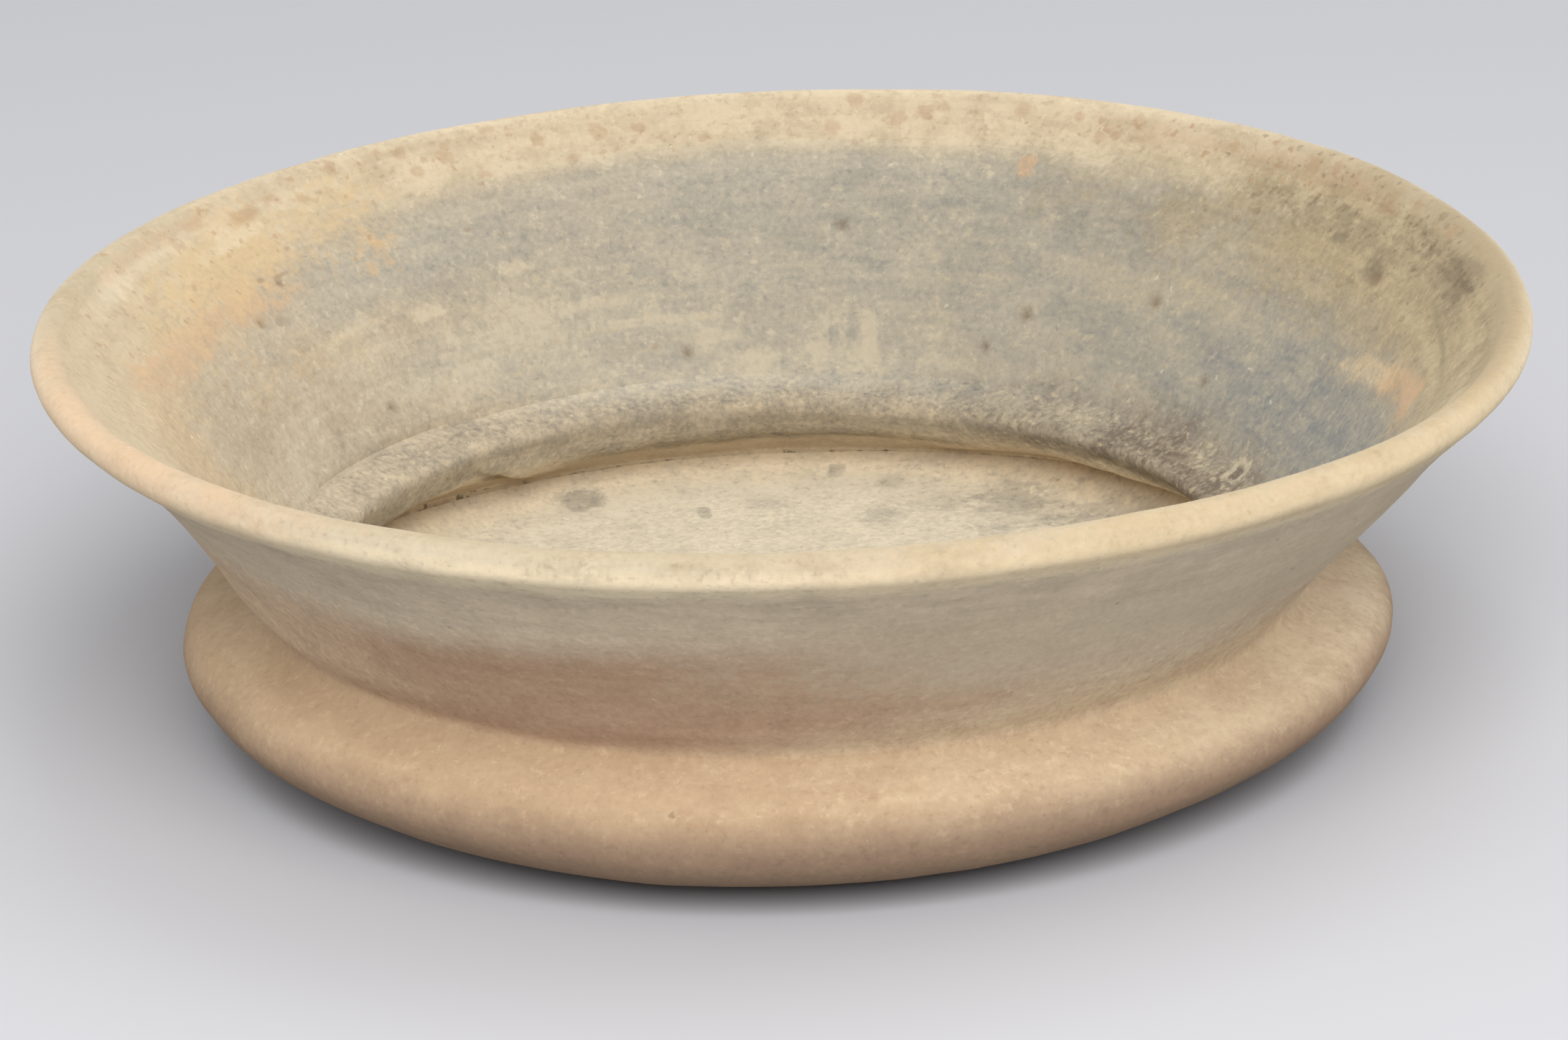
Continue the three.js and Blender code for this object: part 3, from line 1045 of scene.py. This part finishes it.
def fired_clay(name, fineness, grain, blotch, wiped, sand, wiping, marks=(), specks=()):
    """A material of matt fired clay, with marks of a colour and strength at a place, and specks in places."""
    material = bpy.data.materials.new(name)
    material.use_nodes = True
    work = Workings(material.node_tree)
    shader = material.node_tree.nodes["Principled BSDF"]
    place = work.group("bowl_place")
    edges = work.group("uneven_edges", Place=place["Place"])
    spot = {socket: place[socket] for socket in ("Around", "Along")}
    spot |= {socket: edges[socket] for socket in ("Coarse", "Fine")}
    zones = work.group("clay_zones", **spot)
    mottle = work.group(
        "worn_mottle", Place=place["Place"], Turning=place["Turning"], Cover=zones["Cover"],
        Fineness=1 / fineness, Grain=grain, Blotch=blotch, Wiped=wiped,
    )["Mask"]
    colour = work.coloured(mottle, zones["Bare Clay"], zones["Pale Skin"])
    grained = work.fade(mottle, 0.2, 0.8, 0.55, 1.15)
    for mark_colour, strength, ragged, *mask_of in marks:
        mask = stain(work, spot, mask_of, ragged)
        colour = work.coloured(work.times(mask, strength, grained), colour, mark_colour)
    # Painted shade: the pits are painted darker
    in_pit = work.add("ShaderNodeAttribute", attribute_name="pitted").outputs["Fac"]
    colour = work.coloured(work.times(in_pit, PIT_PAINTED_SHADE), colour, EARTH_AND_SHADE)
    for speck_colour, strength, closeness, size, share, *mask_of in specks:
        local_share = work.times(stain(work, spot, mask_of, 0.5), share) if mask_of else share
        mask = work.group(
            "clay_specks", Place=place["Place"], Closeness=closeness, Size=size, Share=local_share,
        )["Mask"]
        colour = work.coloured(work.times(mask, strength), colour, speck_colour)
    tone = work.noise(place["Place"], 0.8, detail=4.0, roughness=0.65)
    tone = work.fade(tone, 0.2, 0.8, TONE_LOW, TONE_HIGH)
    shade = work.add("ShaderNodeVectorMath", {0: colour, 3: tone}, operation="SCALE").outputs[0]
    work.feed(shader.inputs["Base Color"], shade)
    work.feed(shader.inputs["Roughness"], work.fade(mottle, 0.0, 1.0, ROUGH_BARE, ROUGH_PALE))
    shader.inputs["Specular IOR Level"].default_value = SPECULAR
    shader.inputs["Diffuse Roughness"].default_value = DIFFUSE_ROUGHNESS
    grit = work.group(
        "grit_height", Place=place["Place"], Turning=place["Turning"], Sand=sand, Wiping=wiping,
        Pores=PORES,
    )["Height"]
    height = work.add_up(grit, work.times(mottle, SKIN_THICKNESS))
    sockets = {"Height": height, "Strength": BUMP_STRENGTH, "Distance": BUMP_DISTANCE}
    bump = work.add("ShaderNodeBump", sockets)
    work.feed(shader.inputs["Normal"], bump.outputs["Normal"])
    return material


def make_clays():
    """The six clays, one for each slot of the record."""
    # Each mark: colour, strength, raggedness, then round, along, half turn, half height and softness
    wall_marks = (
        (STRAW, 0.6, 0.9, 7.5, GROOVE_LINE + 17.9, 6.5, 1.8, 1.0, -0.36),
        (ORANGE, 0.45, 0.8, -2.5, GROOVE_LINE + 21.0, 6.5, 2.3, 1.2, -0.36),
        (ROSE, 0.5, 0.7, -7, GROOVE_LINE + 21.6, 4, 2.4, 1.2),
        (ORANGE, 0.55, 1.0, 65.3, GROOVE_LINE + 28.6, 0.7, 1.2, 0.9),
        (SOOT_AND_SHADE, 0.4, 0.9, 19.2, LIP_LINE - 9.4, 1.3, 1.5, 1.2),
        (SOOT_AND_SHADE, 0.35, 0.9, 27, LIP_LINE - 8.2, 1.0, 0.7, 1.0),
        (SOOT_AND_SHADE, 0.26, 1.3, 5.5, LIP_LINE - 1.6, 3.0, 0.8, 1.5, -0.1),
        (SOOT_AND_SHADE, 0.28, 0.9, 9, LIP_LINE - 4.4, 3.0, 0.5, 1.2, -0.1),
        # Painted shade: a thin dark line along the rim's bend at the right
        (SOOT_AND_SHADE, 0.2, 0.5, -2, LIP_LINE - 8.6, 9.0, 0.6, 1.2, 0.12),
        (ROSE, 0.7, 2.2, 162, GROOVE_LINE + 25.2, 15, 1.9, 1.5),
        (GOLD, 0.55, 1.6, 152, LIP_LINE - 7, 13, 4.5, 1.5),
        (EARTH_AND_SHADE, 0.36, 1.0, 149, LIP_LINE - 10.5, 0.5, 0.35, 1.2),
        (EARTH_AND_SHADE, 0.3, 1.0, 146, LIP_LINE - 11.0, 1.2, 0.3, 1.2),
        (EARTH_AND_SHADE, 0.24, 1.3, 150, LIP_LINE - 16.3, 0.9, 0.6, 1.4),
        (RUST, 0.4, 0.9, 141, LIP_LINE - 1.8, 1.2, 0.8, 1.2),
    )
    rim_marks = wall_marks[4:] + (
        (APRICOT, 0.5, 0.5, 208, LIP_LINE + 3.5, 20, 3.4, 1.3),
        (GOLD, 0.4, 0.5, 312, LIP_LINE + 5, 34, 3.2, 1.3),
        (RUST, 0.16, 1.2, 40, LIP_LINE - 2, 16, 1.2, 1.4),
        (RUST, 0.36, 1.0, 144.5, LIP_LINE - 2.6, 1.8, 0.8, 1.2),
        (RUST, 0.3, 1.0, 151, LIP_LINE - 1.3, 1.2, 0.7, 1.2),
        (RUST, 0.3, 1.0, 164.5, LIP_LINE - 6.0, 1.2, 0.7, 1.2),
        (CHALK, 0.22, 1.8, 148, LIP_LINE - 4.8, 4.0, 0.6, 1.5, -0.1),
        (CHALK, 0.2, 2.0, 158, LIP_LINE - 2.2, 6.0, 1.0, 1.6),
        (CHALK, 0.2, 2.0, 169, LIP_LINE - 2.4, 4.0, 1.4, 1.6),
        (ROSE, 0.3, 1.6, 158, LIP_LINE - 0.8, 8.0, 0.8, 1.5),
        # Painted shade: a thin dark line along the rim's bend at the left
        (SOOT_AND_SHADE, 0.16, 0.6, 187, LIP_LINE - 9.8, 14, 0.5, 1.2, 0.05),
    )
    # The roll's marks are painted shade: dark lines along the upper edge of its shaded face, and the shadow
    # in the notch under the lapped fold
    roll_painted_shade = (
        (SOOT_AND_SHADE, 0.18, 1.3, 46, ROLL_LINE + 4.6, 22, 0.6, 1.3, -0.03),
        (EARTH_AND_SHADE, 0.6, 0.9, 128.5, ROLL_LINE - 1.2, 2.6, 0.8, 1.1, 0.6),
        (SOOT_AND_SHADE, 0.16, 1.3, 84, ROLL_LINE + 3.6, 16, 0.6, 1.3, -0.01),
        (SOOT_AND_SHADE, 0.16, 1.3, 124, ROLL_LINE + 4.8, 26, 0.6, 1.3, 0.02),
    )
    # Each kind of speck: colour, strength, closeness, size and share, then perhaps a stain that bounds it
    scattered = (
        (SOOT_AND_SHADE, 0.35, 0.4, 0.14, 0.04),
        (CHALK, 0.35, 0.5, 0.16, 0.08),
        (RUST, 0.3, 0.33, 0.18, 0.05),
    )
    dusky = (
        (EARTH_AND_SHADE, 0.42, 0.85, 0.42, 0.5, 27, LIP_LINE - 2.8, 15, 4.2, 1.2),
        (EARTH_AND_SHADE, 0.3, 0.5, 0.4, 0.4, 22, LIP_LINE - 6, 26, 8, 1.2),
        (RUST, 0.5, 0.6, 0.38, 0.4, 48, LIP_LINE - 2.0, 14, 3.0, 1.0),
        (RUST, 0.4, 0.6, 0.34, 0.36, 158, LIP_LINE - 5, 36, 7, 1.3),
        (RUST, 0.32, 0.36, 0.5, 0.45, 86, LIP_LINE - 2, 62, 3.0, 1.2),
    )
    crumbs = (
        (CRUMB, 0.5, 0.8, 0.4, 0.36, 34, ROLL_LINE + 7, 34, 4.5, 1.2),
        (CRUMB, 0.5, 0.8, 0.4, 0.3, 118, ROLL_LINE + 3.5, 12, 2.5, 1.2),
        (CRUMB, 0.5, 0.9, 0.4, 0.45, 19, GROOVE_LINE, 5, 3.2, 1.0),
        (CRUMB, 0.4, 0.8, 0.4, 0.24, 124, GROOVE_LINE + 10, 26, 10, 1.3),
    )
    # Each clay: fineness, grain, blotch, wiped, sand and wiping, then its marks and its specks
    clays = {
        "floor_clay": (0.8, 0.9, 0.8, 0.0, 1.0, 0.0, (), scattered),
        "body_clay": (0.9, 0.8, 0.7, 0.1, 0.9, 0.1, (), scattered),
        "shoulder_clay": (1.0, 0.5, 0.7, 0.4, 0.7, 0.3, (), scattered),
        "neck_clay": (0.7, 1.5, 1.0, 0.6, 0.9, 0.3, roll_painted_shade, scattered + crumbs),
        "wall_clay": (0.8, 0.65, 0.7, 0.7, 0.8, 0.4, wall_marks, scattered + dusky + crumbs),
        "rim_clay": (0.9, 0.55, 1.1, 1.0, 0.6, 0.3, rim_marks, scattered + dusky),
    }
    return {name: fired_clay(name, *finish) for name, finish in clays.items()}


# The stage, lamps and camera

FLOOR_SHOWN = paint(214, 214, 217)
FLOOR_BOUNCE = paint(145, 145, 145)
SKY = paint(246, 247, 250)
SKY_STRENGTH = 0.55
FLOOR_REACH = 4.0
FLOOR_ROUGHNESS = 0.9
FLOOR_SPECULAR = 0.1

# Each lamp: place, size and power
LAMPS = {
    "overhead_lamp": ((0.25, 0.05, 0.95), 0.6, 1.5),
    "front_lamp": ((0.06, -0.8, 0.72), 0.7, 8.6),
}


def make_stage():
    """A plain pale floor, which throws less light back on the bowl than it shows."""
    floor = bpy.data.meshes.new("stage_floor")
    corners = [(x * FLOOR_REACH, y * FLOOR_REACH, 0) for x, y in ((-1, -1), (1, -1), (1, 1), (-1, 1))]
    floor.from_pydata(corners, [], [range(4)])
    pale = bpy.data.materials.new("pale_floor")
    pale.use_nodes = True
    work = Workings(pale.node_tree)
    shader = pale.node_tree.nodes["Principled BSDF"]
    ray = work.add("ShaderNodeLightPath").outputs
    looked_at = work.maths("MAXIMUM", ray["Is Camera Ray"], ray["Is Glossy Ray"])
    looked_at = work.maths("MAXIMUM", looked_at, ray["Is Transmission Ray"])
    work.feed(shader.inputs["Base Color"], work.coloured(looked_at, FLOOR_BOUNCE, FLOOR_SHOWN))
    shader.inputs["Roughness"].default_value = FLOOR_ROUGHNESS
    shader.inputs["Specular IOR Level"].default_value = FLOOR_SPECULAR
    floor.materials.append(pale)
    piece = bpy.data.objects.new("stage_floor", floor)
    bpy.context.scene.collection.objects.link(piece)


def soft_lamp(name, place, size, power):
    """A square lamp at a place, turned to the middle of the bowl."""
    lamp = bpy.data.lights.new(name, "AREA")
    lamp.size = size
    lamp.energy = power
    holder = bpy.data.objects.new(name, lamp)
    holder.location = place
    towards_bowl = Vector((0, 0, BOWL_HEIGHT / 2)) - Vector(place)
    holder.rotation_euler = towards_bowl.to_track_quat("-Z", "Y").to_euler()
    bpy.context.scene.collection.objects.link(holder)


def make_light():
    """Soft light from above and before the bowl, and an even pale sky."""
    world = bpy.data.worlds.new("pale_sky")
    world.use_nodes = True
    sky = world.node_tree.nodes["Background"]
    sky.inputs["Color"].default_value = SKY
    sky.inputs["Strength"].default_value = SKY_STRENGTH
    bpy.context.scene.world = world
    for name, lamp in LAMPS.items():
        soft_lamp(name, *lamp)


# The photograph's view: focal length in its pixels, and where the camera stands and turns
PHOTO_WIDTH = 2184
FOCAL_PIXELS = 7700
SENSOR_WIDTH = 36.0
CAMERA_DISTANCE = 656.13 * MM
CAMERA_ELEVATION = 22.18
CAMERA_PAN = -0.02
CAMERA_TILT = 1.68
CAMERA_ROLL = -1.96


def make_camera():
    """The camera at the photograph's place, looking a little over the origin."""
    elevation, pan, tilt, roll = (
        math.radians(a) for a in (CAMERA_ELEVATION, CAMERA_PAN, CAMERA_TILT, CAMERA_ROLL)
    )
    eye = CAMERA_DISTANCE * Vector((0, -math.cos(elevation), math.sin(elevation)))
    ahead = -eye.normalized()
    right = Vector((1, 0, 0))
    up = right.cross(ahead)
    ahead = ahead * math.cos(pan) * math.cos(tilt) + right * math.sin(pan) + up * math.sin(tilt)
    ahead.normalize()
    right = ahead.cross(up).normalized()
    up = right.cross(ahead)
    rolled_right = right * math.cos(roll) + up * math.sin(roll)
    rolled_up = up * math.cos(roll) - right * math.sin(roll)
    camera = bpy.data.cameras.new("photo_camera")
    camera.sensor_fit = "HORIZONTAL"
    camera.sensor_width = SENSOR_WIDTH
    camera.lens = FOCAL_PIXELS / PHOTO_WIDTH * SENSOR_WIDTH
    camera.clip_start = 0.01
    holder = bpy.data.objects.new("photo_camera", camera)
    turned = Matrix((rolled_right, rolled_up, -ahead)).transposed().to_4x4()
    holder.matrix_world = Matrix.Translation(eye) @ turned
    bpy.context.scene.collection.objects.link(holder)
    bpy.context.scene.camera = holder


def dress_bowl():
    """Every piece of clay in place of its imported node, with its finish."""
    make_shader_groups()
    clays = make_clays()
    for node, (slot, inside, outside) in PIECES.items():
        piece = clay_piece(node, inside, outside)
        piece.data.materials.append(clays[slot])
        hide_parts(node)
        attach(piece, "root")


bpy.context.scene.view_settings.view_transform = "Standard"
make_camera()
make_stage()
make_light()
dress_bowl()
